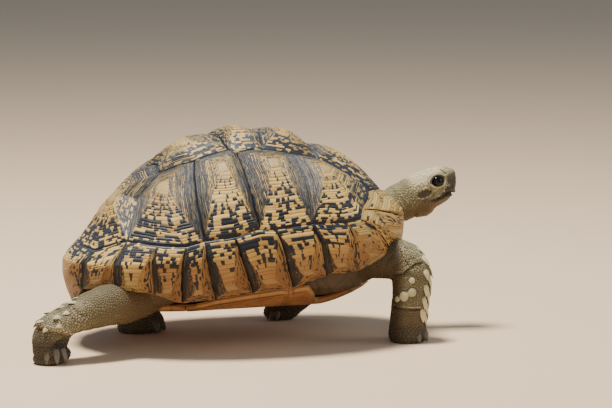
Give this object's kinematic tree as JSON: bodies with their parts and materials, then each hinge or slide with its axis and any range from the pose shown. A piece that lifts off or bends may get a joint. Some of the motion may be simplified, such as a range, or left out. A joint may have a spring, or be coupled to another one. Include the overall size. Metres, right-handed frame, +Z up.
{
  "type": "leopard tortoise",
  "caption": "Life-size still model of an adult leopard tortoise walking with its head raised: domed scuted shell, scaly legs, clawed feet, tail, neck and beaked head.",
  "frame": {"origin": "floor level under the middle of the animal's length and width", "axes": "+X towards the head, +Y towards the animal's left side, +Z up"},
  "size_m": [0.4605, 0.2458, 0.2125],
  "materials": {
    "carapace_horn": "satin horn, cream and tan with dark growth blocks",
    "rim_horn": "satin horn, tan with a dark block on each plate",
    "plastron_horn": "satin horn, straw to brown with scattered dark marks",
    "body_skin": "matte, finely granular olive-brown skin",
    "limb_skin": "matte, scaly olive-grey skin with cream scales",
    "head_skin": "matte to satin, plated olive-yellow skin",
    "claw_horn": "satin dark horn",
    "beak_horn": "satin horn, darker along the cutting edge",
    "eye": "wet gloss"
  },
  "bodies": {
    "root": {"vertebral_1": "carapace_horn", "vertebral_2": "carapace_horn", "vertebral_3": "carapace_horn", "vertebral_4": "carapace_horn", "vertebral_5": "carapace_horn", "costal_right_1": "carapace_horn", "costal_right_2": "carapace_horn", "costal_right_3": "carapace_horn", "costal_right_4": "carapace_horn", "costal_left_1": "carapace_horn", "costal_left_2": "carapace_horn", "costal_left_3": "carapace_horn", "costal_left_4": "carapace_horn", "marginal_right_1": "rim_horn", "marginal_right_2": "rim_horn", "marginal_right_3": "rim_horn", "marginal_right_4": "rim_horn", "marginal_right_5": "rim_horn", "marginal_right_6": "rim_horn", "marginal_right_7": "rim_horn", "marginal_right_8": "rim_horn", "marginal_right_9": "rim_horn", "marginal_right_10": "rim_horn", "marginal_right_11": "rim_horn", "marginal_left_1": "rim_horn", "marginal_left_2": "rim_horn", "marginal_left_3": "rim_horn", "marginal_left_4": "rim_horn", "marginal_left_5": "rim_horn", "marginal_left_6": "rim_horn", "marginal_left_7": "rim_horn", "marginal_left_8": "rim_horn", "marginal_left_9": "rim_horn", "marginal_left_10": "rim_horn", "marginal_left_11": "rim_horn", "supracaudal": "rim_horn", "plastron_gular": "plastron_horn", "plastron_humeral": "plastron_horn", "plastron_pectoral": "plastron_horn", "plastron_abdominal": "plastron_horn", "plastron_femoral": "plastron_horn", "plastron_anal": "plastron_horn", "trunk": "body_skin", "leg_front_right": "limb_skin", "foot_front_right": "limb_skin", "leg_hind_right": "limb_skin", "foot_hind_right": "limb_skin", "leg_hind_left": "limb_skin", "foot_hind_left": "limb_skin", "leg_front_left": "limb_skin", "foot_front_left": "limb_skin", "head": "head_skin", "eye_right": "eye", "eye_left": "eye", "neck": "body_skin", "tail": "limb_skin"}
  },
  "joints": []
}
